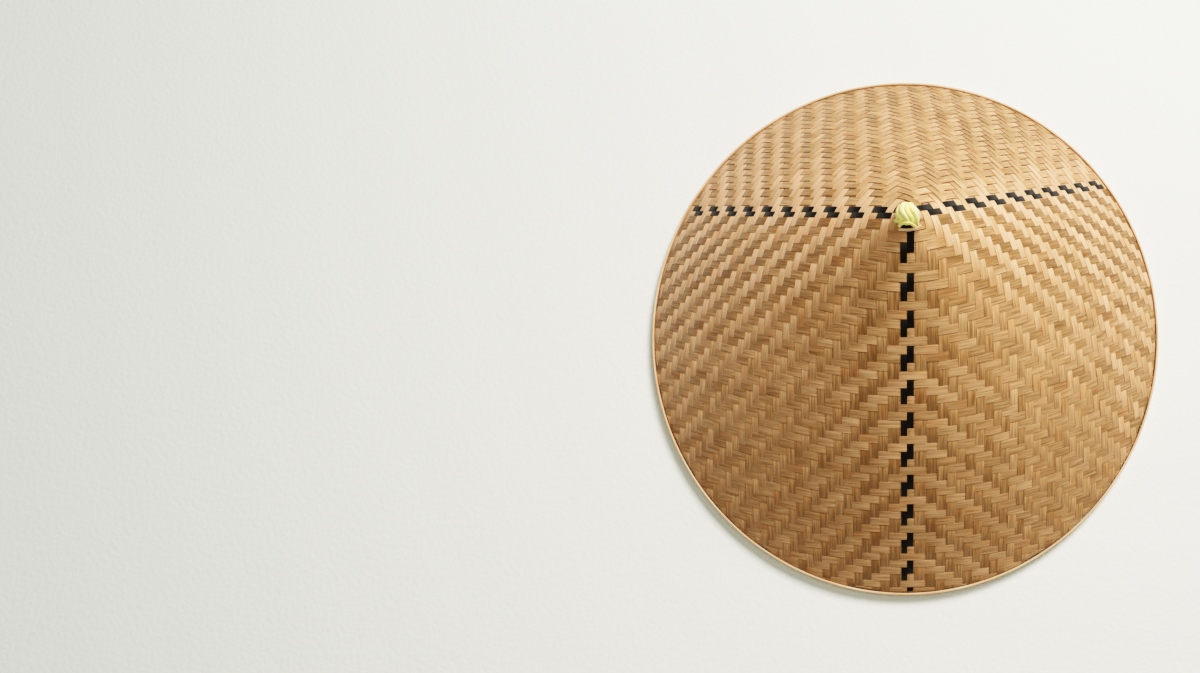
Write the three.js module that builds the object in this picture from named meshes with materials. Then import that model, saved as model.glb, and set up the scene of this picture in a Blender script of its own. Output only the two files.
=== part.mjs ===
import * as THREE from 'three';

// Conical bamboo hat, in millimetres, +Z up.
// It stands on the flat underside of its edge hoop at z = 0, with the origin at the middle of the rim.
// -Y is the front: the peak stands behind the middle of the slightly oval rim.

// Overall form
const rimHalfWidth = 205;
const rimHalfLength = 213.6;
const peakHeight = 185.5;
const peakSetBack = 24.4;

// Edge hoop, a thin splint on edge
const hoopThickness = 2.4;
const hoopHeight = 9;
const hoopEdgeBevel = 0.5;

// Two woven skins, one on the other
const fitGap = 0.3;
const outerWall = 1.4;
const innerWall = 1.6;
const skinEdgeHeight = 9;

// Bundle of split rods under the edge, in two layers that lie along the slope
const rodDiameter = 2.05;
const rodsAcross = 9;
const layerOffset = 1.85;
const lowerOverhang = 3.8;
const rodFlank = THREE.MathUtils.degToRad(33);
const rodValley = 0.2;
const bundleInset = 1.5;

// Head ring, a double band tapered towards the crown, with a thick plaited lower edge
const ringInnerRadius = 90.5;
const ringTaper = 4.5;
const ringWall = 3;
const ringBottom = 24;
const ringCentreY = -8;
const ringEdgeSwell = 1.1;
const ringEdgeFlat = 2.4;
const ringEdgeFullFrom = 2;
const ringEdgeFullTo = 4.5;
const ringEdgeHeight = 7;
const ringNominalTop = 100;

// Knot wound over the peak: its outline from the foot up, as radius and height above the foot
const knotFootRadius = 7.5;
const knotOutline = [
  { radius: 8.1, up: 0.5 },
  { radius: 8.4, up: 3.5 },
  { radius: 7.8, up: 7 },
  { radius: 5.9, up: 10.8 },
  { radius: 3.5, up: 12.5 },
  { radius: 0, up: 13.1 },
];

// Facets round each piece
const skinSegments = 120;
const hoopSegments = 120;
const bundleSegments = 96;
const ringSegments = 72;
const knotSegments = 28;

// Values that follow from the sizes above
const skinEdgeRadius = rimHalfWidth - hoopThickness - fitGap;
const slope = (peakHeight - skinEdgeHeight) / skinEdgeRadius;
const rise = Math.hypot(1, slope);
const oval = rimHalfLength / rimHalfWidth;
const leanPivot = hoopHeight / 2;
const lean = peakSetBack / (peakHeight - leanPivot);
const innerTopDepth = outerWall + fitGap;
const innerUndersideDepth = innerTopDepth + innerWall;

// Height of the cone at a radius, a given depth below the outer face and square to it.
function coneHeight(radius, depth) {
  return peakHeight - slope * radius - depth * rise;
}

// Turns a round upright form into the hat's oval one, whose peak leans back over the rim.
function leanOval(geometry) {
  const matrix = new THREE.Matrix4();
  matrix.set(
    1, 0, 0, 0,
    0, oval, lean, -lean * leanPivot,
    0, 0, 1, 0,
    0, 0, 0, 1,
  );
  return geometry.applyMatrix4(matrix);
}

// Spins a profile of [radius, height] points round the Z axis.
function spin(profile, segments) {
  const points = profile.map(([radius, height]) => new THREE.Vector2(radius, height));
  const geometry = new THREE.LatheGeometry(points, segments);
  return geometry.rotateX(Math.PI / 2);
}

function closeLoop(profile) {
  return [...profile, profile[0]];
}

// One woven skin: an open cone with an even wall and an upright cut edge.
function skin(topDepth, wall) {
  const underDepth = topDepth + wall;
  const profile = [
    [0, coneHeight(0, underDepth)],
    [skinEdgeRadius / 2, coneHeight(skinEdgeRadius / 2, underDepth)],
    [skinEdgeRadius, coneHeight(skinEdgeRadius, underDepth)],
    [skinEdgeRadius, coneHeight(skinEdgeRadius, topDepth)],
    [skinEdgeRadius / 2, coneHeight(skinEdgeRadius / 2, topDepth)],
    [0, coneHeight(0, topDepth)],
  ];
  return leanOval(spin(profile, skinSegments));
}

// Hoop round the cut edges of the skins, with a flat underside.
function hoop() {
  const outer = rimHalfWidth;
  const inner = rimHalfWidth - hoopThickness;
  const profile = closeLoop([
    [inner, 0],
    [outer - hoopEdgeBevel, 0],
    [outer, hoopEdgeBevel],
    [outer, hoopHeight - hoopEdgeBevel],
    [outer - hoopEdgeBevel, hoopHeight],
    [inner + hoopEdgeBevel, hoopHeight],
    [inner, hoopHeight - hoopEdgeBevel],
  ]);
  return leanOval(spin(profile, hoopSegments));
}

// Section of the rod bundle: two rows of round rods fused to one band.
// The first number runs inwards along the slope, the second down and square to it.
function bundleSection() {
  const radius = rodDiameter / 2;
  const start = -lowerOverhang;
  const end = start + rodsAcross * rodDiameter;
  const lowerCentre = radius + layerOffset;
  const flankSide = radius * Math.sin(rodFlank);
  const flankDown = radius * Math.cos(rodFlank);
  const points = [[start, lowerCentre]];
  for (let rod = 0; rod < rodsAcross; rod += 1) {
    const centre = start + radius + rod * rodDiameter;
    points.push([centre - flankSide, lowerCentre + flankDown]);
    points.push([centre + flankSide, lowerCentre + flankDown]);
    points.push([centre + radius, lowerCentre + rodValley]);
  }
  points.push([end + radius / 2, radius]);
  points.push([end - radius / 2, 0]);
  points.push([radius, 0]);
  points.push([0, radius]);
  return points;
}

// The section is turned on to the slope, just inside the hoop, and spun round the rim.
function bundle() {
  const depth = innerUndersideDepth + fitGap;
  const outerEdge = skinEdgeRadius - bundleInset;
  const profile = bundleSection().map(([along, down]) => {
    const radius = outerEdge - (along + down * slope) / rise;
    return [radius, coneHeight(radius, depth + down)];
  });
  return leanOval(spin(closeLoop(profile.reverse()), bundleSegments));
}

// Height of the inner skin's underside above a point of the floor.
// It solves the leaning oval cone for its drop below the peak.
function undersideHeight(x, y) {
  const peak = coneHeight(0, innerUndersideDepth);
  const fromPeak = y - lean * (peak - leanPivot);
  const a = 1 / slope ** 2 - lean ** 2 / oval ** 2;
  const b = (-2 * fromPeak * lean) / oval ** 2;
  const c = -(x ** 2) - fromPeak ** 2 / oval ** 2;
  const drop = (-b + Math.sqrt(b * b - 4 * a * c)) / (2 * a);
  return peak - drop;
}

// Head ring: a tapered band whose upper edge follows the underside of the inner skin.
function headRing() {
  const inner = ringInnerRadius;
  const outer = ringInnerRadius + ringWall;
  const middle = (inner + outer) / 2;
  const shoulder = ringBottom + ringEdgeHeight;
  const profile = closeLoop([
    [middle - ringEdgeFlat / 2, ringBottom],
    [middle + ringEdgeFlat / 2, ringBottom],
    [outer + ringEdgeSwell, ringBottom + ringEdgeFullFrom],
    [outer + ringEdgeSwell, ringBottom + ringEdgeFullTo],
    [outer, shoulder],
    [outer - ringTaper, ringNominalTop],
    [inner - ringTaper, ringNominalTop],
    [inner, shoulder],
    [inner - ringEdgeSwell, ringBottom + ringEdgeFullTo],
    [inner - ringEdgeSwell, ringBottom + ringEdgeFullFrom],
  ]);
  const geometry = spin(profile, ringSegments).translate(0, ringCentreY, 0);
  const position = geometry.attributes.position;
  for (let i = 0; i < position.count; i += 1) {
    if (position.getZ(i) > (shoulder + ringNominalTop) / 2) {
      const top = undersideHeight(position.getX(i), position.getY(i));
      position.setZ(i, top - fitGap * rise);
    }
  }
  return geometry;
}

// Knot wound over the peak: a low dome, hollowed underneath to sit on the cone.
function knot() {
  const foot = coneHeight(knotFootRadius, -fitGap);
  const outline = knotOutline.map(({ radius, up }) => [radius, foot + up]);
  const profile = [
    [0, coneHeight(0, -fitGap)],
    [knotFootRadius, foot],
    ...outline,
  ];
  return leanOval(spin(profile, knotSegments));
}

function straw(color, roughness) {
  return new THREE.MeshStandardMaterial({ color, roughness, metalness: 0 });
}

const pieces = [
  ['outer_skin', skin(0, outerWall), straw('#c9a26b', 0.6)],
  ['inner_skin', skin(innerTopDepth, innerWall), straw('#bd9460', 0.62)],
  ['rim_bundle', bundle(), straw('#9c7d58', 0.65)],
  ['edge_hoop', hoop(), straw('#e0c795', 0.5)],
  ['head_ring', headRing(), straw('#cfae7c', 0.62)],
  ['peak_knot', knot(), straw('#eadf8f', 0.55)],
];

const hat = new THREE.Group();
for (const [name, geometry, material] of pieces) {
  const mesh = new THREE.Mesh(geometry, material);
  mesh.name = name;
  hat.add(mesh);
}

export default hat;
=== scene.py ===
import math
import random

import bmesh
import bpy
from mathutils import Matrix, Vector, noise


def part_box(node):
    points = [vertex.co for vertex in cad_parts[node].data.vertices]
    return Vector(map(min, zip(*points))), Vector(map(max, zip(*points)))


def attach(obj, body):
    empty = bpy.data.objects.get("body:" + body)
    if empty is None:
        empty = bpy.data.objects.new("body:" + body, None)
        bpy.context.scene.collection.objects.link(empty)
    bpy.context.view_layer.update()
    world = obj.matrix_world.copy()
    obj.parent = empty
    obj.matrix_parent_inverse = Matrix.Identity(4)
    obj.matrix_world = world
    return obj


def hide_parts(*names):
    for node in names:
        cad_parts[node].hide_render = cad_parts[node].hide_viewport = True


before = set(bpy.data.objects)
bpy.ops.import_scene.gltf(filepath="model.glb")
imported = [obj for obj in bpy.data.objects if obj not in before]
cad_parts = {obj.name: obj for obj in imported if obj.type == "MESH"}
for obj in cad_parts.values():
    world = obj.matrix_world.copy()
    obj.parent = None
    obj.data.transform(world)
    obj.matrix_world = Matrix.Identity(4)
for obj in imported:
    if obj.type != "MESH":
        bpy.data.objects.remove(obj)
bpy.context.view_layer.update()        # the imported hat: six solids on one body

skinLow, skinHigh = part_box("outer_skin")
hoopLow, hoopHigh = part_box("edge_hoop")
ringLow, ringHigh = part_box("head_ring")
knotLow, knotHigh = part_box("peak_knot")
mm = 0.001


# Camera, placed as the photograph's right-hand picture was taken

shot = {
    "place": (-0.0018, -0.1767, 0.6938),
    "tilt": 13.495,            # degrees from straight down
    "roll": 0.51,
    "focalPixels": 872.1,
    "frameWidth": 1200,
    "middleColumn": 903,       # middle of the right-hand picture
}

camera = bpy.data.objects.new("camera", bpy.data.cameras.new("camera"))
bpy.context.scene.collection.objects.link(camera)
tilt = Matrix.Rotation(math.radians(shot["tilt"]), 4, "X")
roll = Matrix.Rotation(math.radians(shot["roll"]), 4, "Z")
camera.matrix_world = Matrix.Translation(shot["place"]) @ (tilt @ roll)
camera.data.sensor_width = 36
camera.data.lens = shot["focalPixels"] / shot["frameWidth"] * camera.data.sensor_width
camera.data.shift_x = 0.5 - shot["middleColumn"] / shot["frameWidth"]
bpy.context.scene.camera = camera
print("camera set")


# The oblique cone that every piece follows

form = {
    "edgeRadius": skinHigh.x,          # cut edge of the skins, across the hat
    "peakHeight": skinHigh.z,
    "edgeHeight": hoopHigh.z,
    "peakSetBack": 24.4 * mm,
    "oval": 213.6 / 205,
}
form["drop"] = form["peakHeight"] - form["edgeHeight"]
form["slope"] = form["drop"] / form["edgeRadius"]
form["rise"] = math.hypot(1, form["slope"])
form["pivot"] = form["edgeHeight"] / 2
form["lean"] = form["peakSetBack"] / (form["peakHeight"] - form["pivot"])


# A point of a round upright form, turned into the hat's oval leaning one.
def leanOval(radius, azimuth, height):
    return Vector((
        radius * math.cos(azimuth),
        radius * math.sin(azimuth) * form["oval"] + form["lean"] * (height - form["pivot"]),
        height,
    ))


def coneHeight(radius, depth):
    return form["peakHeight"] - form["slope"] * radius - depth * form["rise"]


# Plan distance from the peak to the cut edge, and the length of the slope there.
def edgeReach(azimuth):
    across = form["edgeRadius"]
    along = across * form["oval"]
    back = form["peakSetBack"] - form["lean"] * (form["edgeHeight"] - form["pivot"])
    a = (math.cos(azimuth) / across) ** 2 + (math.sin(azimuth) / along) ** 2
    b = 2 * back * math.sin(azimuth) / along ** 2
    c = (back / along) ** 2 - 1
    reach = (-b + math.sqrt(b * b - 4 * a * c)) / (2 * a)
    return reach, math.hypot(reach, form["drop"])


# The point at a slope distance from the peak, in a direction seen from above, and at a depth.
def conePoint(azimuth, slant, depth):
    reach, length = edgeReach(azimuth)
    part = slant / length
    return Vector((
        reach * math.cos(azimuth) * part,
        form["peakSetBack"] + reach * math.sin(azimuth) * part,
        form["peakHeight"] - form["drop"] * part - depth * form["rise"],
    ))


# Mesh helpers

def newShape():
    bm = bmesh.new()
    bm.loops.layers.uv.new("strip")
    # Per vertex: a random tone, and painted light and shade that follow the way a strip runs
    for name in ("tone", "paintedLight"):
        bm.verts.layers.float.new(name)
    return bm


# Lays a grid over a surface: place gives each station its point, UV, tone and painted light and shade.
def layGrid(bm, columns, rows, place, sharpEdges=False):
    grid = bmesh.ops.create_grid(bm, x_segments=columns, y_segments=rows, size=1)["verts"]
    uvLayer = bm.loops.layers.uv["strip"]
    toneLayer = bm.verts.layers.float["tone"]
    paintedLightLayer = bm.verts.layers.float["paintedLight"]
    uvs = {}
    for vert in grid:
        column = round((vert.co.x + 1) / 2 * columns)
        row = round((vert.co.y + 1) / 2 * rows)
        vert.co, uvs[vert], vert[toneLayer], vert[paintedLightLayer] = place(column, row)
    for vert in grid:
        for loop in vert.link_loops:
            loop[uvLayer].uv = uvs[vert]
            loop.face.smooth = True
            if sharpEdges and loop.edge.is_boundary:
                loop.edge.smooth = False
    return grid


# Runs a strand along points. A flat one lies square to its ups, which a round one doesn't need.
def sweep(bm, points, radius, sides=6, closed=False, flatness=1.0, ups=None, tone=0.5):
    count = len(points)
    columns = count if closed else count - 1
    radii = radius if isinstance(radius, list) else [radius] * count
    along = [0.0]
    for i in range(1, columns + 1):
        along.append(along[-1] + (points[i % count] - points[i - 1]).length)
    frames = []
    up = Vector((0, 0, 1))
    for i, point in enumerate(points):
        ahead = points[(i + 1) % count] if closed else points[min(i + 1, count - 1)]
        behind = points[i - 1] if closed else points[max(i - 1, 0)]
        forward = (ahead - behind).normalized()
        up = ups[i] if ups else up
        if abs(up.normalized().dot(forward)) > 0.98:
            up = Vector((0.3, 1, 0.2))
        side = forward.cross(up).normalized()
        up = side.cross(forward)
        frames.append((side, up.copy()))

    def place(column, row):
        i = column % count
        side, over = frames[i]
        angle = 2 * math.pi * row / sides
        offset = side * math.cos(angle) + over * math.sin(angle) * flatness
        return points[i] + offset * radii[i], (along[column] / (2 * max(radii)), row / sides), tone, 0.0

    grid = layGrid(bm, columns, sides, place)
    kept = set(grid)
    welded = bmesh.ops.find_doubles(bm, verts=grid, dist=1e-7)["targetmap"]
    bmesh.ops.weld_verts(bm, targetmap=welded)
    grid = [vert for vert in kept if vert.is_valid]
    if not closed:
        ends = {edge for vert in grid for edge in vert.link_edges if edge.is_boundary}
        bmesh.ops.holes_fill(bm, edges=list(ends), sides=sides)
    bmesh.ops.recalc_face_normals(bm, faces=list({face for vert in grid for face in vert.link_faces}))
    return grid


def finishPiece(bm, name, material, replaced=(), wall=None):
    mesh = bpy.data.meshes.new(name)
    bm.to_mesh(mesh)
    bm.free()
    mesh.materials.append(material)
    piece = bpy.data.objects.new(name, mesh)
    bpy.context.scene.collection.objects.link(piece)
    if wall:
        solidify = piece.modifiers.new("wall", "SOLIDIFY")
        solidify.thickness = wall
        solidify.offset = 0
    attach(piece, "root")
    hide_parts(*replaced)
    return piece


# Material helpers

def addNode(tree, kind, inputs=None, **settings):
    made = tree.nodes.new(kind)
    for name, value in settings.items():
        setattr(made, name, value)
    for name, value in (inputs or {}).items():
        if isinstance(value, bpy.types.NodeSocket):
            tree.links.new(value, made.inputs[name])
        else:
            made.inputs[name].default_value = value
    return made


def calculate(tree, operation, first, second=0.0, third=0.0, clamp=False):
    inputs = {0: first, 1: second, 2: third}
    return addNode(tree, "ShaderNodeMath", inputs, operation=operation, use_clamp=clamp).outputs[0]


def mixColours(tree, factor, first, second, blend="MIX"):
    made = addNode(tree, "ShaderNodeMix", {"Factor": factor}, data_type="RGBA", blend_type=blend)
    for socket, value in ((made.inputs[6], first), (made.inputs[7], second)):
        if isinstance(value, bpy.types.NodeSocket):
            tree.links.new(value, socket)
        else:
            socket.default_value = value
    return made.outputs[2]


def colour(red, green, blue):      # a screen colour of 0 to 255, as the shaders count it
    return (*[((part / 255 + 0.055) / 1.055) ** 2.4 for part in (red, green, blue)], 1)


bamboo = {
    "stripStep": 61.7,                 # carries each strip to a part of the noise of its own
    "coarse": 0.4,                     # fineness of the streaks beside that of the fibres
    "streakStretch": 1.0, "fibreStretch": 1.6, "patchStretch": 0.9,
    "patchFineness": 1.3, "roughness": 0.55,
    "edge": 0.16,                      # share of a strip's width that rounds off at each side
}


# Grain of split bamboo: streaks along a strip, slower patches and the rounding of its edges.
def makeBambooGrain():
    tree = bpy.data.node_groups.new("bambooGrain", "ShaderNodeTree")
    face = tree.interface
    face.new_socket("Coords", in_out="INPUT", socket_type="NodeSocketVector")
    for name in ("Strip", "Length", "Fineness"):
        face.new_socket(name, in_out="INPUT", socket_type="NodeSocketFloat")
    for name in ("Streaks", "Fibres", "Patches", "Body"):
        face.new_socket(name, in_out="OUTPUT", socket_type="NodeSocketFloat")
    given = addNode(tree, "NodeGroupInput").outputs
    parts = addNode(tree, "ShaderNodeSeparateXYZ", {0: given["Coords"]}).outputs
    strip = calculate(tree, "MULTIPLY", given["Strip"], bamboo["stripStep"])
    length = calculate(tree, "MULTIPLY", parts["X"], given["Length"])

    def streaks(fineness, stretch, detail):
        across = calculate(tree, "MULTIPLY", parts["Y"], fineness)
        along = calculate(tree, "MULTIPLY", length, stretch)
        place = addNode(tree, "ShaderNodeCombineXYZ", {"X": along, "Y": across, "Z": strip}).outputs[0]
        inputs = {"Vector": place, "Scale": 1, "Detail": detail, "Roughness": bamboo["roughness"]}
        return addNode(tree, "ShaderNodeTexNoise", inputs).outputs["Fac"]

    coarse = calculate(tree, "MULTIPLY", given["Fineness"], bamboo["coarse"])
    fromEdge = calculate(tree, "PINGPONG", parts["Y"], 0.5)
    rounding = {"Value": fromEdge, "From Max": bamboo["edge"]}
    body = addNode(tree, "ShaderNodeMapRange", rounding, interpolation_type="SMOOTHSTEP")
    results = {
        "Streaks": streaks(coarse, bamboo["streakStretch"], 2),
        "Fibres": streaks(given["Fineness"], bamboo["fibreStretch"], 3),
        "Patches": streaks(bamboo["patchFineness"], bamboo["patchStretch"], 2),
        "Body": body.outputs["Result"],
    }
    addNode(tree, "NodeGroupOutput", results)
    return tree


bambooGrain = makeBambooGrain()


# A straw or splint: palette runs from the darkest streak to the palest face.
def makeStraw(name, look):
    material = bpy.data.materials.new(name)
    material.use_nodes = True
    tree = material.node_tree
    shader = tree.nodes["Principled BSDF"]
    uv = addNode(tree, "ShaderNodeUVMap", uv_map="strip").outputs[0]
    tone = addNode(tree, "ShaderNodeAttribute", attribute_name="tone").outputs["Fac"]
    # Painted light and shade: strips running round the hat are painted paler, strips running down it darker
    paintedLight = addNode(tree, "ShaderNodeAttribute", attribute_name="paintedLight").outputs["Fac"]
    inputs = {"Coords": uv, "Strip": tone, "Length": look["length"], "Fineness": look["fineness"]}
    grain = addNode(tree, "ShaderNodeGroup", inputs, node_tree=bambooGrain).outputs
    level = look["level"]
    marks = (
        (tone, "toneWeight"), (paintedLight, "paintedLightWeight"), (grain["Patches"], "patchWeight"),
        (grain["Streaks"], "streakWeight"), (grain["Fibres"], "fibreWeight"),
    )
    for source, weight in marks:
        centred = calculate(tree, "SUBTRACT", source, 0.5)
        level = calculate(tree, "MULTIPLY_ADD", centred, look[weight], level)
    ramp = addNode(tree, "ShaderNodeValToRGB", {"Fac": level})
    stops = ramp.color_ramp.elements
    stops[0].color = look["palette"][0]
    stops[-1].color = look["palette"][-1]
    for i, stop in enumerate(look["palette"][1:-1], 1):
        stops.new(i / (len(look["palette"]) - 1)).color = stop
    blotches = {"Vector": uv, "Scale": look["warmScale"], "Detail": 1}
    warmth = addNode(tree, "ShaderNodeTexNoise", blotches).outputs["Fac"]
    warmth = calculate(tree, "MULTIPLY_ADD", warmth, look["warmGain"], look["warmStart"], clamp=True)
    base = mixColours(tree, warmth, ramp.outputs[0], look["warm"], "MULTIPLY")
    if look["stain"]:
        stain = look["stain"]
        place = addNode(tree, "ShaderNodeTexCoord").outputs["Object"]
        flat = addNode(tree, "ShaderNodeVectorMath", {0: place, 1: (1, 1, 0)}, operation="MULTIPLY")
        ends = {0: flat.outputs[0], 1: stain["place"]}
        apart = addNode(tree, "ShaderNodeVectorMath", ends, operation="DISTANCE").outputs["Value"]
        specks = {"Vector": place, "Scale": stain["fineness"], "Detail": 2}
        uneven = addNode(tree, "ShaderNodeTexNoise", specks).outputs["Fac"]
        apart = calculate(tree, "MULTIPLY_ADD", uneven, stain["ragged"], apart)
        mask = addNode(tree, "ShaderNodeMapRange", {
            "Value": apart, "From Min": stain["outer"], "From Max": stain["inner"],
            "To Max": stain["strength"],
        }).outputs["Result"]
        base = mixColours(tree, mask, base, stain["colour"])
    tree.links.new(base, shader.inputs["Base Color"])
    roughest = look["rough"] + look["roughSwing"] / 2
    rough = calculate(tree, "MULTIPLY_ADD", grain["Fibres"], -look["roughSwing"], roughest)
    tree.links.new(rough, shader.inputs["Roughness"])
    height = calculate(tree, "MULTIPLY", grain["Body"], look["bodyHeight"])
    height = calculate(tree, "MULTIPLY_ADD", grain["Fibres"], look["fibreHeight"], height)
    height = calculate(tree, "MULTIPLY_ADD", grain["Streaks"], look["fibreHeight"], height)
    if look["bulge"]:
        place = addNode(tree, "ShaderNodeTexCoord").outputs["Object"]
        down = addNode(tree, "ShaderNodeMapRange", {
            "Value": addNode(tree, "ShaderNodeSeparateXYZ", {0: place}).outputs["Z"],
            "From Min": form["peakHeight"], "From Max": form["edgeHeight"],
        }).outputs["Result"]
        swell = calculate(tree, "SUBTRACT", down, calculate(tree, "MULTIPLY", down, down))
        height = calculate(tree, "MULTIPLY_ADD", swell, 4 * look["bulge"] / look["relief"], height)
    bump = addNode(tree, "ShaderNodeBump", {"Height": height, "Strength": 1, "Distance": look["relief"]})
    tree.links.new(bump.outputs[0], shader.inputs["Normal"])
    shader.inputs["Specular IOR Level"].default_value = look["gloss"]
    shader.inputs["Specular Tint"].default_value = look["glossTint"]
    shader.inputs["Sheen Weight"].default_value = look["sheen"]
    shader.inputs["Sheen Roughness"].default_value = look["sheenRoughness"]
    shader.inputs["Anisotropic"].default_value = look["anisotropy"]
    shader.inputs["Anisotropic Rotation"].default_value = 0.25      # across the fibres
    tangent = addNode(tree, "ShaderNodeTangent", direction_type="UV_MAP", uv_map="strip")
    tree.links.new(tangent.outputs[0], shader.inputs["Tangent"])
    return material


# Weaving on the cone. Three families of strips meet at three lines; each family crosses
# its own line square on and runs along both others. Strip 0 of each lies beside the lines.

weaving = {
    "mostStrips": 60,                  # more than a family needs to reach the edge
    "halvings": 30,                    # in the search for a strip's end
    "endLift": 0.6,                    # share of the lift left at a strip's ends
    "longFloat": 3,                    # half turns, past which a stretch gets a flat middle
    "stepRound": 9,                    # degrees round the peak between two stations, at most
    "gapRun": 3,                       # strips over which the gaps beside the peak close
    "shift": (0.2, 0.8),               # where a strip lies in its place
    "grainRun": 50,                    # how far apart the grain of two strips may start
    "swayStep": 3.7, "firstSway": 0.3,  # each strip wanders by itself, the first least
}


def stripEdge(weave, family, index):
    if index == 0:
        return 0.0
    loose, run = weave["loose"][family]
    spread = loose * (1 - math.exp((1 - index) / run))
    return weave["firstPitch"] + (index - 1) * weave["pitch"] + spread


# Flat position of a strip's point turned to its direction and distance on the cone.
def onCone(weave, family, near, along):
    lines = weave["lines"]
    line = lines[family]
    if along > 0:
        gap = (lines[(family + 1) % 3] - line) % 360
    else:
        gap = -((line - lines[family - 1]) % 360)
    quarter = math.atan2(abs(along), near) / (math.pi / 2)
    return math.radians(line + quarter * gap), math.hypot(near, along)


# How far from its line a strip runs before it meets the hat's edge.
def stripReach(weave, family, near, sign):
    low, high = 0.0, 2 * form["edgeRadius"]
    for _ in range(weaving["halvings"]):
        middle = (low + high) / 2
        azimuth, slant = onCone(weave, family, near, sign * middle)
        if slant < edgeReach(azimuth)[1] + weave["past"]:
            low = middle
        else:
            high = middle
    return low


# Stretches of a strip over or under the others: start, end and +1 or -1.
def stripFloats(weave, family, index, reaches):
    floats = []
    for sign, reach in zip((-1, 1), reaches):
        other = (family + sign) % 3
        crossing = 0
        while stripEdge(weave, other, crossing) < reach:
            apart = index - crossing
            over = apart % 4 in (0, 1) if sign > 0 else -apart % 4 in (2, 3)
            if (family, index, sign, crossing) in weave["slips"]:
                over = not over
            near = stripEdge(weave, other, crossing)
            far = min(stripEdge(weave, other, crossing + 1), reach)
            floats.append([*sorted((sign * near, sign * far)), 1 if over else -1])
            crossing += 1
    floats.sort()
    merged = [floats[0]]
    for start, end, lift in floats[1:]:
        if lift == merged[-1][2]:
            merged[-1][1] = end
        else:
            merged.append([start, end, lift])
    return merged


# Places along a strip with its lift there, close enough together to follow the cone.
def stripStations(weave, near, floats):
    half = weave["turn"] * weave["pitch"]
    stations = [(floats[0][0], floats[0][2] * weaving["endLift"])]
    for start, end, lift in floats:
        if end - start > weaving["longFloat"] * half:
            stations += [(start + half, lift * weave["shoulder"]), (end - half, lift * weave["shoulder"])]
        stations.append(((start + end) / 2, lift))
    stations.append((floats[-1][1], floats[-1][2] * weaving["endLift"]))
    stations.sort()
    finer = [stations[0]]
    for (start, low), (end, high) in zip(stations, stations[1:]):
        turned = abs(math.atan2(end, near) - math.atan2(start, near))
        parts = max(1, math.ceil(turned / math.radians(weaving["stepRound"])))
        for part in range(1, parts + 1):
            share = part / parts
            finer.append((start + (end - start) * share, low + (high - low) * share))
    return finer


# Painted light and shade: strips that run round the hat are painted palest and those running down the slope
# darker, and each family of the back sector gets one fixed amount of it.
def paintLight(weave, family, azimuth, around):
    paintedLight = weave["paintedLightByFamily"][family] * around ** weave["paintedLightRun"]
    if family not in weave["backPaintedLight"]:
        return paintedLight
    low, high = weave["lines"][2], weave["lines"][0]
    value, start, end = weave["backPaintedLight"][family]
    share = ((math.degrees(azimuth) - low) / (high - low) - start) / (end - start)
    share = min(1, max(0, share))
    return value + (paintedLight - value) * share * share * (3 - 2 * share)


# The weave is looser in the back sector: a pair holds a value in front and its value at the back.
def bySector(weave, pair, azimuth):
    direction = math.degrees(azimuth) % 360
    inside = min(direction - weave["lines"][2], weave["lines"][0] - direction)
    return pair[0] + (pair[1] - pair[0]) * min(1, max(0, inside / weave["loosening"]))


def weaveStrip(bm, weave, family, index, chance):
    inner, outer = stripEdge(weave, family, index), stripEdge(weave, family, index + 1)
    spare = (outer - inner) * (1 - chance.uniform(*weave["fill"]))
    spare += weave["peakGap"] * math.exp(-index / weaving["gapRun"])
    shift = chance.uniform(*weaving["shift"])
    if index == 0 and weave["snug"]:
        spare, shift = weave["snug"], 0
    inner += spare * shift
    outer -= spare * (1 - shift)
    tone = chance.random()
    start = chance.uniform(0, weaving["grainRun"])
    trims = [chance.uniform(0, 1) ** 2 * weave["trim"] for _ in range(2)]
    line = math.radians(weave["lines"][family])
    if inner > edgeReach(line)[1] - weave["pitch"] / 4:
        return
    reaches = [stripReach(weave, family, inner, sign) for sign in (-1, 1)]
    floats = stripFloats(weave, family, index, reaches)
    stations = stripStations(weave, max(inner, weave["pitch"] / 3), floats)

    def place(column, row):
        along, lift = stations[column]
        drift = Vector((along / weave["swayLength"], index * weaving["swayStep"], family))
        sway = noise.noise(drift) * weave["sway"]
        sway *= min(1, weaving["firstSway"] + index)
        near = (inner if row else outer) + sway
        if index:
            drawn = bySector(weave, weave["drawnIn"], onCone(weave, family, near, along)[0])
            near += drawn if row else -drawn
        azimuth, slant = onCone(weave, family, near, along)
        edge = edgeReach(azimuth)[1] + weave["past"] - trims[along > 0]
        depth = weave["depth"] - weave["side"] * lift * bySector(weave, weave["lift"], azimuth)
        point = conePoint(azimuth, min(slant, edge), depth)
        # Painted light and shade at this point, by how much the strip runs round the hat here
        paintedLight = paintLight(weave, family, azimuth, min(1, max(0, near) / max(slant, mm)))
        return point, (start + along / weave["pitch"], row), tone, paintedLight

    layGrid(bm, len(stations) - 1, 1, place, sharpEdges=True)


def weaveFamily(weave, family, indices):
    bm = newShape()
    chance = random.Random(weave["seed"] + family)
    for index in range(weaving["mostStrips"]):
        if index in indices:
            weaveStrip(bm, weave, family, index, chance)
        else:
            chance.random()
    return bm


straw = {
    "length": 0.3, "fineness": 15,
    "level": 0.5, "toneWeight": 0.26, "patchWeight": 0.4, "streakWeight": 1.2, "fibreWeight": 0.7,
    # Weight of the painted light and shade in the colour
    "paintedLightWeight": 0.74, "bulge": 0, "stain": None,
    "palette": (colour(136, 95, 56), colour(167, 121, 78), colour(193, 145, 102), colour(216, 165, 122),
                colour(237, 185, 146)),
    "warm": colour(248, 214, 176), "warmGain": 1.8, "warmStart": -0.85, "warmScale": 0.21,
    "rough": 0.56, "roughSwing": 0.15, "fibreHeight": 0.13, "bodyHeight": 0.12, "relief": 0.25 * mm,
    "gloss": 0.4, "glossTint": (1, 0.86, 0.68, 1), "anisotropy": 0.6,
    "sheen": 0.15, "sheenRoughness": 0.4,
}

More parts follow.
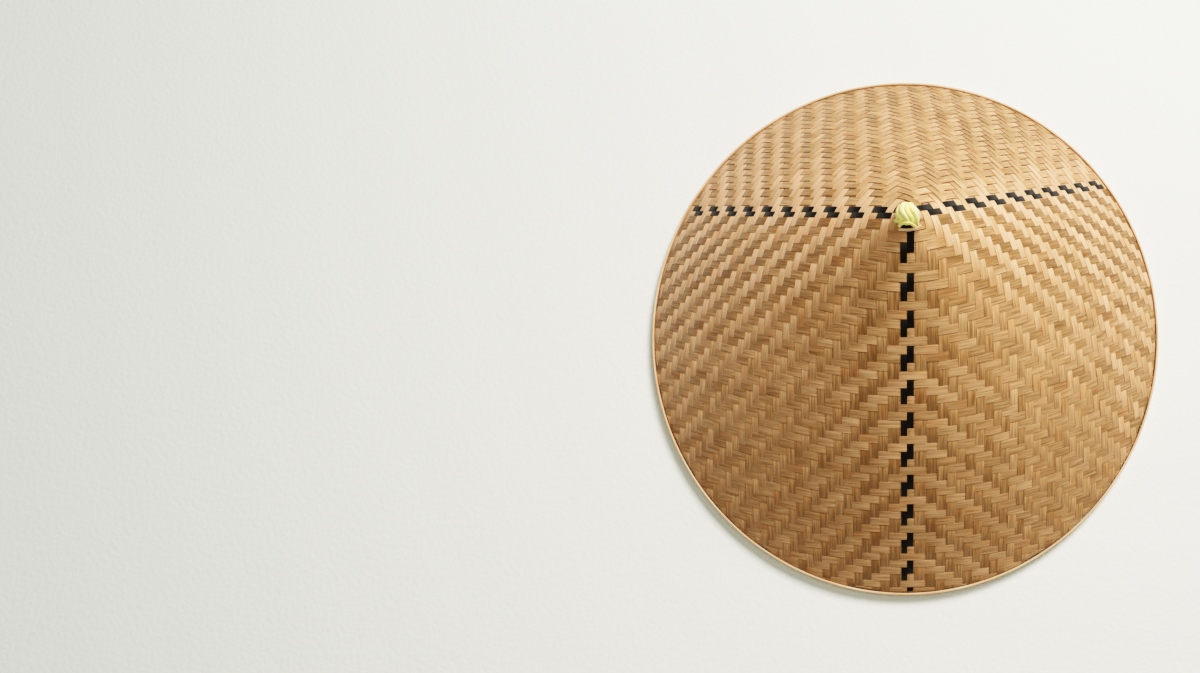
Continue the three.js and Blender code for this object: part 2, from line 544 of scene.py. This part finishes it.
outerWeave = {
    "pitch": 6.224 * mm,
    "firstPitch": 4.79 * mm,           # dyed strips, beside the lines
    "loose": ((4.2 * mm, 1.7), (4.93 * mm, 4), (4.2 * mm, 2)),  # looser weave next to the peak
    "lines": (159.02, 270.75, 30.35),  # degrees, seen from above
    "depth": 0.7 * mm, "lift": (0.38 * mm, 0.5 * mm), "wall": 0.5 * mm, "turn": 0.16, "shoulder": 0.92,
    "fill": (0.9, 0.97), "sway": 0.35 * mm, "swayLength": 45 * mm,
    "drawnIn": (-0.1 * mm, 0.22 * mm), "loosening": 10,
    # Painted light and shade: amount per family, how fast it grows as a strip turns round the hat, and the
    # fixed amounts in the back sector
    "paintedLightByFamily": (1, 0.46, 1), "paintedLightRun": 1.4, "backPaintedLight": {0: (0.55, 0.55, 1), 2: (0.3, 0.24, 0)},
    # Crossings beside the knot that leave the dyed strips uncovered
    "slips": {(2, 0, 1, 1), (0, 1, -1, 0), (2, 0, -1, 1), (1, 1, 1, 0), (0, 0, 1, 1), (1, 1, -1, 0)},
    "past": 0.6 * mm, "trim": 1.3 * mm,   # how far strip ends reach past the edge or fall short
    "peakGap": 0.7 * mm,
    "snug": 0.55 * mm,                 # dyed strips meet on the lines and leave this beyond
    "side": 1, "seed": 11,
}
fineStraw = makeStraw("fineStraw", {**straw, "bulge": 4 * mm})
dyedStraw = makeStraw("dyedStraw", {
    **straw,
    "palette": (colour(8, 7, 8), colour(14, 13, 13), colour(23, 21, 20), colour(37, 34, 31),
                colour(62, 57, 51)),
    "paintedLightWeight": 0, "streakWeight": 0.8, "rough": 0.5, "gloss": 0.36, "sheen": 0.02,
})

for family, name in enumerate(("left", "front", "right")):
    bm = weaveFamily(outerWeave, family, range(1, weaving["mostStrips"]))
    finishPiece(bm, f"outer_strips_{name}", fineStraw, ["outer_skin"], outerWeave["wall"])
dyed = newShape()
for family in range(3):
    weaveStrip(dyed, outerWeave, family, 0, random.Random(family))
finishPiece(dyed, "dyed_strips", dyedStraw, ["outer_skin"], outerWeave["wall"])
print("outer skin woven")


# Lining of wider strips, whose weave shows from below

innerWeave = {
    "pitch": 9.45 * mm,
    "firstPitch": 9.45 * mm,
    "loose": ((0, 1),) * 3,
    "lines": (58, 178, 298),
    "depth": 2.5 * mm, "lift": (0.48 * mm, 0.48 * mm), "wall": 0.5 * mm, "turn": 0.16, "shoulder": 0.62,
    "fill": (0.9, 0.99), "sway": 0.4 * mm, "swayLength": 60 * mm, "drawnIn": (0, 0), "loosening": 10,
    # Painted light and shade on the lining, the same for every family
    "paintedLightByFamily": (1, 1, 1), "paintedLightRun": 1.4, "backPaintedLight": {}, "slips": (),
    "past": 0, "trim": 0.5 * mm, "peakGap": 0.2 * mm,
    "snug": 0, "side": -1, "seed": 29,
}

coarseStraw = makeStraw("coarseStraw", {
    **straw,
    # The lining's painted light and shade, weaker than outside
    "fineness": 17, "streakWeight": 1.1, "paintedLightWeight": 0.4,
    "stain": {
        "place": (87.6 * mm, -120.5 * mm, 0), "colour": colour(84, 92, 104), "strength": 0.75,
        "inner": 4.6 * mm, "outer": 6.2 * mm,   # full within the first, gone past the second
        "ragged": 5 * mm, "fineness": 420,
    },
})
for family, name in enumerate(("back", "left", "right")):
    bm = weaveFamily(innerWeave, family, range(weaving["mostStrips"]))
    finishPiece(bm, f"inner_strips_{name}", coarseStraw, ["inner_skin"], innerWeave["wall"])
print("inner skin woven")


# Edge hoop: one long splint set on edge round the cut edges

hoop = {
    "inner": form["edgeRadius"] + 1.0 * mm,
    "outer": hoopHigh.x - 0.1 * mm,
    "low": 0.75 * mm,                  # stitches pass under it
    "high": form["edgeHeight"] + 0.2 * mm,
    "steps": 240, "bevel": 0.45 * mm,
    "wave": 0.25 * mm, "waves": 5,     # unevenness of its upper edge
    "inward": 0.3, "inwardWaves": 1.7,  # sideways, as a share of that
}


def makeHoop():
    bm = newShape()
    corners = [(hoop["inner"], hoop["low"]), (hoop["outer"], hoop["low"]),
               (hoop["outer"], hoop["high"]), (hoop["inner"], hoop["high"])]
    verts = [bm.verts.new((radius, 0, height)) for radius, height in corners]
    edges = [bm.edges.new((verts[i], verts[(i + 1) % 4])) for i in range(4)]
    bmesh.ops.spin(bm, geom=verts + edges, cent=(0, 0, 0), axis=(0, 0, 1),
                   angle=2 * math.pi, steps=hoop["steps"], use_merge=True)
    bmesh.ops.recalc_face_normals(bm, faces=bm.faces)
    lengthwise = [edge for edge in bm.edges if abs(edge.verts[0].co.z - edge.verts[1].co.z) < 1e-6
                  and abs(edge.verts[0].co.xy.length - edge.verts[1].co.xy.length) < 1e-6]
    bmesh.ops.bevel(bm, geom=lengthwise, affect="EDGES", offset=hoop["bevel"], segments=2,
                    profile=0.5, material=-1)
    uvLayer = bm.loops.layers.uv["strip"]
    for face in bm.faces:
        face.smooth = True
        middle = face.calc_center_median()
        turn = math.atan2(middle.y, middle.x)
        for loop in face.loops:
            place = loop.vert.co
            azimuth = math.atan2(place.y, place.x)
            azimuth += 2 * math.pi * round((turn - azimuth) / (2 * math.pi))
            span = hoop["high"] - hoop["low"]
            loop[uvLayer].uv = (azimuth * hoop["outer"] / span, (place.z - hoop["low"]) / span)
    for vert in bm.verts:
        azimuth = math.atan2(vert.co.y, vert.co.x)
        around = Vector((math.cos(azimuth), math.sin(azimuth), 0)) * hoop["waves"]
        height = vert.co.z
        if height > form["pivot"]:
            height += noise.noise(around) * hoop["wave"]
        inward = noise.noise(around * hoop["inwardWaves"]) * hoop["wave"] * hoop["inward"]
        vert.co = leanOval(vert.co.xy.length + inward, azimuth, height)
    return bm


splint = makeStraw("splint", {
    **straw,
    "length": 0.12, "fineness": 9, "level": 0.66, "toneWeight": 0, "patchWeight": 0.5, "streakWeight": 0.5,
    "paintedLightWeight": 0,
    "palette": (colour(162, 117, 78), colour(200, 153, 111), colour(222, 180, 141), colour(238, 205, 169)),
    "rough": 0.42, "relief": 0.12 * mm,
})
finishPiece(makeHoop(), "hoop_splint", splint, ["edge_hoop"])
print("hoop bent")


# Bundle of split rods under the edge, in two layers along the slope

rods = {
    "diameter": 2.05 * mm, "across": 9, "upper": 8,
    "overhang": 3.8 * mm, "layerOffset": 1.85 * mm,
    "topDepth": 3.6 * mm, "inset": 1.5 * mm,
    "steps": 170, "sides": 7, "thinning": 0.14,
    "wander": 0.5 * mm, "bends": 2.4, "apart": 5.3,  # sideways, each rod by itself
    "settle": 0.35, "settleBends": 2.3,              # up and down, as a share of that
    "swell": 0.12, "swellBends": 3,                  # in thickness
}


# A point under the edge: along runs inwards up the slope, down runs square to it.
def underEdge(azimuth, along, down):
    radius = form["edgeRadius"] - rods["inset"] - (along + down * form["slope"]) / form["rise"]
    return leanOval(radius, azimuth, coneHeight(radius, rods["topDepth"] + down))


def makeRods():
    bm = newShape()
    chance = random.Random(5)
    lower = [(-rods["overhang"] + rods["diameter"] * (i + 0.5), rods["diameter"] / 2 + rods["layerOffset"])
             for i in range(rods["across"])]
    upper = [(rods["diameter"] * (i + 0.5), rods["diameter"] / 2) for i in range(rods["upper"])]
    for number, (along, down) in enumerate(lower + upper):
        thick = rods["diameter"] / 2 * (1 - chance.uniform(0, rods["thinning"]))
        points = []
        radii = []
        for step in range(rods["steps"]):
            azimuth = 2 * math.pi * step / rods["steps"]
            around = Vector((math.cos(azimuth), math.sin(azimuth), 0)) * rods["bends"]
            around += Vector((0, 0, number * rods["apart"]))
            drift = noise.noise(around) * rods["wander"]
            other = around * rods["settleBends"] + Vector((9, 0, 0))
            settle = noise.noise(other) * rods["wander"] * rods["settle"]
            points.append(underEdge(azimuth, along + drift, down + settle))
            radii.append(thick * (1 + rods["swell"] * noise.noise(around * rods["swellBends"])))
        sweep(bm, points, radii, rods["sides"], closed=True, tone=chance.random())
    return bm


rodBark = makeStraw("rodBark", {
    **straw,
    "length": 0.025, "fineness": 6, "level": 0.45, "toneWeight": 0.55, "patchWeight": 0.5,
    "streakWeight": 0.9, "paintedLightWeight": 0,
    "palette": (colour(82, 60, 40), colour(130, 101, 70), colour(164, 133, 96), colour(190, 160, 119),
                colour(220, 196, 154)),
    "warm": colour(250, 225, 195), "relief": 0.15 * mm,
})
finishPiece(makeRods(), "rim_rods", rodBark, ["rim_bundle"])
print("rods laid")


# Stitches: a yellow thread over the bundle, under the hoop and in through it below its upper edge

stitches = {
    "count": 92, "radius": 0.44 * mm, "sides": 6, "slant": 3.2 * mm, "slantSwing": 2.2 * mm,
    "under": 4.42 * mm,                # from the top of the rods to the thread below them
    "start": 15.6 * mm,                # hole beside the bundle's inner side
    "drawn": 0.36 * mm,                # radius where it is pulled through the hoop
    "hole": (-0.6, 1.4),               # mm below the top of the rods
    "across": ((0.9, -0.5), (3.2, 0), (7.5, 0.1), (12, 0), (17.4, -0.15)),  # mm out of it, below "under"
    "placing": 0.12, "reach": (-0.8, 1.6),  # how unevenly they are spaced and pierced
}


def makeStitches():
    bm = newShape()
    chance = random.Random(17)
    under, start = stitches["under"], stitches["start"]
    thread = stitches["radius"]
    for number in range(stitches["count"]):
        placing = chance.uniform(-stitches["placing"], stitches["placing"])
        azimuth = 2 * math.pi * (number + placing) / stitches["count"]
        slant = (stitches["slant"] + chance.uniform(-1, 1) * stitches["slantSwing"]) / form["edgeRadius"]
        reach = chance.uniform(*stitches["reach"]) * mm
        route = [(start + reach, down * mm) for down in stitches["hole"]]
        route += [(start - out * mm, under + down * mm) for out, down in stitches["across"]]
        points = []
        for along, down in route:
            share = 1 - (along + rods["overhang"]) / (start + rods["overhang"])
            points.append(underEdge(azimuth + slant * (share - 1), along, down))
        radii = [thread] * len(points)
        inner, outer, drawn = hoop["inner"], hoop["outer"], stitches["drawn"]
        for radius, height in ((inner + 0.3 * mm, thread), (outer - 0.4 * mm, thread),
                               (outer + drawn / 2, 1.6 * mm), (outer + drawn / 2, 4.2 * mm),
                               (outer - 0.4 * mm, 5.6 * mm), (inner - 0.6 * mm, 6.2 * mm)):
            points.append(leanOval(radius, azimuth, height))
            radii.append(drawn)
        sweep(bm, points, radii, stitches["sides"], tone=chance.random())
    return bm


yellow = {
    **straw,
    "length": 0.3, "fineness": 5, "level": 0.74, "toneWeight": 0.4, "patchWeight": 0.6, "streakWeight": 0.6,
    "paintedLightWeight": 0,
    "palette": (colour(238, 206, 108), colour(252, 230, 134), colour(255, 241, 152), colour(255, 250, 180)),
    "warm": colour(255, 238, 190), "rough": 0.5, "relief": 0.12 * mm,
}
yellowThread = makeStraw("yellowThread", yellow)
finishPiece(makeStitches(), "rim_stitches", yellowThread)
print("edge stitched")


# A curve through the waypoints, with its first and last leg carried straight on.
def smoothRoute(waypoints, steps):
    route = []
    ends = [2 * waypoints[0] - waypoints[1], *waypoints, 2 * waypoints[-1] - waypoints[-2]]
    for i in range(len(waypoints) - 1):
        before, start, end, after = ends[i:i + 4]
        for step in range(steps):
            t = step / steps
            second = 2 * before - 5 * start + 4 * end - after
            third = 3 * start - before - 3 * end + after
            route.append(0.5 * (2 * start + (end - before) * t + second * t * t + third * t ** 3))
    return [*route, waypoints[-1]]


# Thread tied off under the edge: strands by distance round the edge and in from the hoop
rimTie = {
    "azimuth": 332.8, "middle": 203 * mm, "radius": 0.5 * mm,
    "strands": [
        {"radius": 0.55, "flatness": 0.7, "layer": 1.3,
         "route": [(9.0, 0.6), (5.0, 1.4), (0, 5.6), (-1.8, 10.6), (-3.5, 14.8), (-5.7, 17.0),
                   (-8.4, 15.4)]},
        {"radius": 0.8, "flatness": 0.4, "layer": 0.5,
         "route": [(-3.0, 2.6), (0, 5.6), (6.6, 10.8), (12.2, 14.5), (15.7, 17.3)]},
        {"radius": 0.5, "flatness": 0.5, "layer": 0.5, "route": [(10.0, 13.0), (11.6, 15.8), (12.8, 18.6)]},
        {"radius": 0.5, "flatness": 0.8, "layer": 0.4, "route": [(27.0, 2.0), (31.5, 9.5), (36.8, 17.8)]},
        {"radius": 0.4, "flatness": 0.8, "layer": 0.6, "route": [(26.5, 2.4), (25.2, 8.0), (24.8, 12.5)]},
        {"radius": 0.4, "flatness": 0.8, "layer": 0.5,
         "route": [(-13.8, 1.1), (-13.4, 6.5), (-13.2, 11.7), (-11.9, 16.8)]},
        {"radius": 0.4, "flatness": 0.8, "layer": 0.5, "route": [(-16.0, 2.3), (-14.6, 7.0), (-13.3, 11.4)]},
        {"radius": 1.0, "flatness": 0.8, "layer": 1.0, "route": [(-13.7, 10.4), (-13.2, 12.6)]},
    ],
}

# Thread ends beside the head ring: strands by distance round the ring and out from the tie
ringTie = {
    "azimuth": 66, "out": 110 * mm,
    "strands": [
        {"radius": 1.5, "flatness": 0.25, "layer": 0.6, "route": [(1.3, -0.2), (4.6, -7.0), (8.2, -13.6)]},
        {"radius": 0.4, "flatness": 0.8, "layer": 1.6,
         "route": [(-5.5, 9.9), (-8.0, -2.5), (-12.8, -12.6), (-21.0, -13.8)]},
        {"radius": 0.35, "flatness": 0.8, "layer": 0.8, "route": [(-16.3, 2.5), (-12.0, 1.4), (-8.7, -1.0)]},
        {"radius": 0.35, "flatness": 0.8, "layer": 1.0,
         "route": [(-12.8, -12.6), (-6.0, -11.4), (1.0, -8.7)]},
        {"radius": 0.4, "flatness": 0.6, "layer": 1.2, "route": [(0.7, 6.5), (0.8, 2.0), (-0.3, -2.6)]},
    ],
}


def makeTie(tie, place):
    bm = newShape()
    chance = random.Random(7)
    for strand in tie["strands"]:
        flat = smoothRoute([Vector(point) * mm for point in strand["route"]], 5)
        points = [place(point.x, point.y, strand["layer"] * mm) for point in flat]
        ups = [Vector((0, 0, -1))] * len(points)
        sweep(bm, points, strand["radius"] * mm, 8, flatness=strand["flatness"], ups=ups,
              tone=chance.random())
    return bm


# Height of the lining's underside over a point of the floor.
def liningHeight(x, y):
    azimuth = math.atan2(y - form["peakSetBack"], x)
    distance = math.hypot(x, y - form["peakSetBack"])
    depth = innerWeave["depth"] + innerWeave["lift"][0] + innerWeave["wall"]
    return form["peakHeight"] - form["drop"] * distance / edgeReach(azimuth)[0] - depth * form["rise"]


def placeRimTie(around, inward, drop):
    azimuth = math.radians(rimTie["azimuth"]) + around / rimTie["middle"]
    radius = hoopHigh.x - inward
    height = coneHeight(radius, rods["topDepth"] + stitches["under"] + drop)
    return leanOval(radius, azimuth, max(height, drop + rimTie["radius"]))


def placeRingTie(around, outward, drop):
    azimuth = math.radians(ringTie["azimuth"]) + around / ringTie["out"]
    reach = ringTie["out"] + outward
    x, y = reach * math.cos(azimuth), (ringLow.y + ringHigh.y) / 2 + reach * math.sin(azimuth)
    return Vector((x, y, liningHeight(x, y) - drop))


finishPiece(makeTie(rimTie, placeRimTie), "rim_tie", yellowThread)
finishPiece(makeTie(ringTie, placeRingTie), "ring_tie", yellowThread)
print("ends tied")


# Knot over the peak: strands wound from back to front over a small mound

knot = {
    "radius": 8.0 * mm, "top": 10.9 * mm, "sharpness": 2.3, "roundness": 0.55,
    "thread": 0.8 * mm, "flatness": 0.6, "sides": 10,
    "core": 0.93, "coreSides": 28, "coreRows": 8, "coreSunk": 0.2 * mm,
    "packing": 0.5 * mm,               # fills between the strands on top
    "packingFrom": -2 * mm, "packingOver": 3 * mm,
    "backCut": 1.25,                   # how much steeper the mound's back is
}
knotFoot = Vector((0, form["peakSetBack"], knotLow.z))


# Height of the mound over a point beside its axis; past its foot the cone takes over.
def moundHeight(x, y):
    share = min(1, math.hypot(x, y * (knot["backCut"] if y > 0 else 1)) / knot["radius"])
    mound = knotFoot.z + knot["top"] * (1 - share ** knot["sharpness"]) ** knot["roundness"]
    azimuth = math.atan2(y, x)
    cone = form["peakHeight"] - form["drop"] * math.hypot(x, y) / edgeReach(azimuth)[0]
    return max(mound, cone)


# Turns of flat thread by their places beside the axis, with half widths at start and end
knotTurns = [
    {"widths": (2.1, 0.9), "layer": 0.1,
     "route": [(-3.2, 5.2), (-4.7, 2.9), (-6.0, 0.4), (-5.6, -2.0), (-4.1, -4.0), (-2.7, -5.4)]},
    {"widths": (2.2, 0.8), "layer": 0.6,
     "route": [(-1.7, 5.5), (-2.8, 1.9), (-3.0, -0.5), (-1.8, -2.6), (-0.4, -4.3), (0.8, -5.8)]},
    {"widths": (2.2, 0.85), "layer": 0.3,
     "route": [(0.1, 5.7), (-0.3, 1.8), (0.1, -0.4), (1.2, -2.5), (2.5, -4.1), (3.6, -5.9)]},
    {"widths": (2.2, 1.0), "layer": 0.6,
     "route": [(2.0, 5.5), (2.7, 1.9), (3.8, 0.1), (5.1, -1.6), (6.0, -3.4), (6.8, -5.8)]},
    {"widths": (1.8, 1.0), "layer": 0.0,
     "route": [(3.9, 4.6), (5.2, 2.0), (6.4, 0.5), (7.1, -1.0), (7.3, -3.2)]},
    {"widths": (0.9, 0.8), "layer": 0.5, "route": [(-8.0, -2.6), (-6.4, -4.0), (-4.8, -4.9), (-3.4, -5.5)]},
    {"widths": (1.0, 1.0), "layer": -0.4, "route": [(-7.4, -3.4), (-5.9, -5.0), (-4.5, -6.2)]},
    {"widths": (0.9, 0.9), "layer": -0.5, "route": [(3.9, -1.8), (4.9, -3.8), (5.6, -6.0)]},
    {"widths": (1.0, 1.1), "layer": 1.2,
     "route": [(-5.3, -7.2), (-4.1, -6.6), (-2.2, -6.4), (0.0, -6.3), (2.0, -6.4), (3.6, -6.6),
               (5.3, -6.5)]},
]


def makeKnot():
    bm = newShape()
    chance = random.Random(3)
    step = 0.1 * mm
    for turn in knotTurns:
        flat = smoothRoute([Vector(place) * mm for place in turn["route"]], 7)
        start, end = turn["widths"]
        route, ups, widths = [], [], []
        for i, (x, y) in enumerate(flat):
            ups.append(Vector((moundHeight(x - step, y) - moundHeight(x + step, y),
                               moundHeight(x, y - step) - moundHeight(x, y + step),
                               2 * step)).normalized())
            foot = Vector((x, y + knotFoot.y, moundHeight(x, y)))
            route.append(foot + ups[-1] * turn["layer"] * knot["thread"])
            widths.append((start + (end - start) * i / (len(flat) - 1)) * mm)
        sweep(bm, route, widths, knot["sides"], flatness=knot["flatness"], ups=ups, tone=chance.random())

    sides, rows = knot["coreSides"], knot["coreRows"]

    def placeCore(column, row):
        angle = 2 * math.pi * column / sides
        reach = knot["radius"] * knot["core"] * math.sin(row / rows * math.pi / 2)
        x, y = reach * math.cos(angle), reach * math.sin(angle)
        packing = min(1, max(0, (y - knot["packingFrom"]) / knot["packingOver"])) * knot["packing"]
        packing *= math.cos(row / rows * math.pi / 2)
        height = moundHeight(x, y) - knot["coreSunk"] + packing
        # The core's front half gets a darker tone: painted shade in the slots between the strands
        return Vector((x, y + knotFoot.y, height)), (column / 4, row / rows), 0.1 if y < 0 else 0.5, 0.0

    core = layGrid(bm, sides, rows, placeCore)
    bmesh.ops.remove_doubles(bm, verts=core, dist=0.01 * mm)
    return bm


# Flat end of a straw that lies under the front of the knot
knotStraw = {
    "radius": 1.0 * mm, "flatness": 0.35, "layer": 0.5 * mm, "tone": 0.9,
    "up": (0, -0.6, 0.8),
    "route": [(-5.2, -9.2), (-3.0, -9.2), (-0.6, -9.3), (2.0, -9.2), (4.5, -8.5), (7.1, -7.5), (9.2, -6.4)],
}


def makeKnotBase():
    bm = newShape()
    route = []
    for x, y in smoothRoute([Vector(place) * mm for place in knotStraw["route"]], 5):
        route.append(Vector((x, y + knotFoot.y, moundHeight(x, y) + knotStraw["layer"])))
    ups = [Vector(knotStraw["up"])] * len(route)
    sweep(bm, route, knotStraw["radius"], knot["sides"], flatness=knotStraw["flatness"], ups=ups,
          tone=knotStraw["tone"])
    return bm


finishPiece(makeKnot(), "knot_strands", yellowThread, ["peak_knot"])
finishPiece(makeKnotBase(), "knot_base", splint)
print("knot tied")


# Head ring: a double plaited band up to the lining, its strips folded over along the lower edge

ring = {
    "middle": 92 * mm, "taper": 4.5 * mm, "low": ringLow.z, "shoulder": ringLow.z + 7 * mm,
    "nominalTop": 100 * mm, "centreY": (ringLow.y + ringHigh.y) / 2,
    "strips": 68, "layers": (0.75 * mm, -0.75 * mm), "lift": 0.26 * mm, "wall": 0.36 * mm,
    "rise": 3 * mm,                    # where the strips leave the folded edge
    "foldRadius": 2.35 * mm, "foldShingle": 0.5 * mm, "foldFrom": -35, "foldTo": 215, "foldDrift": 1.3,
    "foldWidth": 1.25, "foldSteps": 9, "foldRows": 2,
    "fill": 0.93,
}


def ringRadius(height):
    share = (height - ring["shoulder"]) / (ring["nominalTop"] - ring["shoulder"])
    return ring["middle"] - ring["taper"] * max(0, share)


def ringPoint(azimuth, height, out):
    radius = ringRadius(height) + out
    return Vector((radius * math.cos(azimuth), ring["centreY"] + radius * math.sin(azimuth), height))


def makeRing():
    bm = newShape()
    chance = random.Random(41)
    step = 2 * math.pi / ring["strips"]
    cell = ring["middle"] * step / 2           # height between crossings
    half = cell / 2 * ring["fill"]
    low = ring["low"] + ring["rise"]

    def plaitStrip(number, lean, layer):
        tone = chance.random()
        start = chance.uniform(0, 40)
        stations = []
        crossing = 0
        height = low
        while True:
            azimuth = number * step + lean * (height - low) / ring["middle"]
            point = ringPoint(azimuth, height, layer)
            if height > liningHeight(point.x, point.y):
                break
            apart = 2 * number + lean * crossing
            over = apart % 4 in ((0, 1) if lean > 0 else (2, 3))
            stations.append((height, 1 if over else -1))
            crossing += 1
            height = low + crossing * cell
        stations.append((height, 0))

        def place(column, row):
            height, lift = stations[column]
            side = half if row else -half
            centre = number * step + lean * (height - low) / ring["middle"]
            azimuth = centre + side / ring["middle"]
            top = height - lean * side
            spot = ringPoint(azimuth, top, layer)
            top = min(top, liningHeight(spot.x, spot.y))
            point = ringPoint(azimuth, top, layer + lift * ring["lift"])
            return point, (start + (height - low) / cell, row), tone, 0.5

        layGrid(bm, len(stations) - 1, 1, place, sharpEdges=True)

    for layer in ring["layers"]:
        for number in range(ring["strips"]):
            plaitStrip(number, 1, layer)
            plaitStrip(number, -1, layer)
    for number in range(ring["strips"]):
        tone = chance.random()

        def place(column, row):
            share = column / ring["foldSteps"]
            across = row / ring["foldRows"]
            angle = math.radians(ring["foldFrom"] + (ring["foldTo"] - ring["foldFrom"]) * share)
            azimuth = (number + ring["foldDrift"] * share + (across - 0.5) * ring["foldWidth"]) * step
            reach = ring["foldRadius"] + ring["foldShingle"] * across
            height = ring["low"] + ring["foldRadius"] + ring["foldShingle"] - reach * math.sin(angle)
            return ringPoint(azimuth, height, reach * math.cos(angle)), (share * 3, across), tone, 0.5

        layGrid(bm, ring["foldSteps"], ring["foldRows"], place, sharpEdges=True)
    return bm


ringStraw = makeStraw("ringStraw", {
    **straw,
    "level": 0.62, "paintedLightWeight": 0, "toneWeight": 0.35,
    "palette": (colour(126, 90, 52), colour(170, 130, 83), colour(204, 165, 115), colour(228, 193, 144)),
})
finishPiece(makeRing(), "ring_plait", ringStraw, ["head_ring"], ring["wall"])
print("head ring plaited")


# Floor and light

studio = {
    "floor": colour(239, 238, 228), "floorHalf": 6,
    "paperRoughness": 0.9, "paperGrain": 260, "paperRelief": 0.4 * mm,
    "keyPlace": (0.846, 1.207, 1.758), "keySize": 0.9, "keyPower": 142, "keyColour": (0.98, 1, 1.02),
    "softPlace": (0, -0.2, 0.9), "softSize": 0.5, "softPower": 4.9,
    "fill": (1.0, 0.94, 0.84), "fillStrength": 0.38,
    "contrast": 1.5, "shoulder": 0.9,  # response of the photograph's film to light
    "filmWhite": 5.0,
    "filmSteps": (0.04, 0.1, 0.2, 0.35, 0.55, 0.8, 1.15, 1.6, 2.2, 3.2),
    # Share of the red that is kept at a level of light
    "redKept": ((0.04, 0.98), (0.1, 0.93), (0.2, 0.925), (0.28, 0.95), (0.36, 0.99), (0.44, 1),
                (0.6, 1), (0.8, 1)),
}

floor = bpy.data.objects.new("floor", bpy.data.meshes.new("floor"))
bm = bmesh.new()
bmesh.ops.create_grid(bm, x_segments=1, y_segments=1, size=studio["floorHalf"])
bm.to_mesh(floor.data)
bm.free()
bpy.context.scene.collection.objects.link(floor)
paper = bpy.data.materials.new("paper")
paper.use_nodes = True
paperTree = paper.node_tree
paperShader = paperTree.nodes["Principled BSDF"]
paperShader.inputs["Base Color"].default_value = studio["floor"]
paperShader.inputs["Roughness"].default_value = studio["paperRoughness"]
paperPlace = addNode(paperTree, "ShaderNodeTexCoord").outputs["Object"]
grit = {"Vector": paperPlace, "Scale": studio["paperGrain"], "Detail": 4}
paperGrain = addNode(paperTree, "ShaderNodeTexNoise", grit).outputs["Fac"]
paperBump = addNode(paperTree, "ShaderNodeBump", {"Height": paperGrain, "Distance": studio["paperRelief"]})
paperTree.links.new(paperBump.outputs[0], paperShader.inputs["Normal"])
floor.data.materials.append(paper)


def makeLight(name, place, size, power, tint):
    light = bpy.data.objects.new(name, bpy.data.lights.new(name, "AREA"))
    light.data.size = size
    light.data.energy = power
    light.data.color = tint
    light.location = place
    light.rotation_euler = (-light.location).to_track_quat("-Z", "Y").to_euler()
    bpy.context.scene.collection.objects.link(light)


makeLight("key", studio["keyPlace"], studio["keySize"], studio["keyPower"], studio["keyColour"])
makeLight("overhead", studio["softPlace"], studio["softSize"], studio["softPower"], studio["fill"])
world = bpy.data.worlds.new("studio")
world.use_nodes = True
world.node_tree.nodes["Background"].inputs["Color"].default_value = (*studio["fill"], 1)
world.node_tree.nodes["Background"].inputs["Strength"].default_value = studio["fillStrength"]
bpy.context.scene.world = world
view = bpy.context.scene.view_settings
view.view_transform = "Standard"
view.use_curve_mapping = True
view.curve_mapping.white_level = (studio["filmWhite"],) * 3
film = view.curve_mapping.curves[3]
for light in studio["filmSteps"]:
    film.points.new(light / studio["filmWhite"], 0)
for point in film.points:
    exposed = (point.location.x * studio["filmWhite"]) ** studio["contrast"]
    point.location.y = exposed / (1 + studio["shoulder"] * exposed)
redFilm = view.curve_mapping.curves[0]
for light, kept in studio["redKept"]:
    redFilm.points.new(light, light * kept)
view.curve_mapping.update()
print("studio lit")
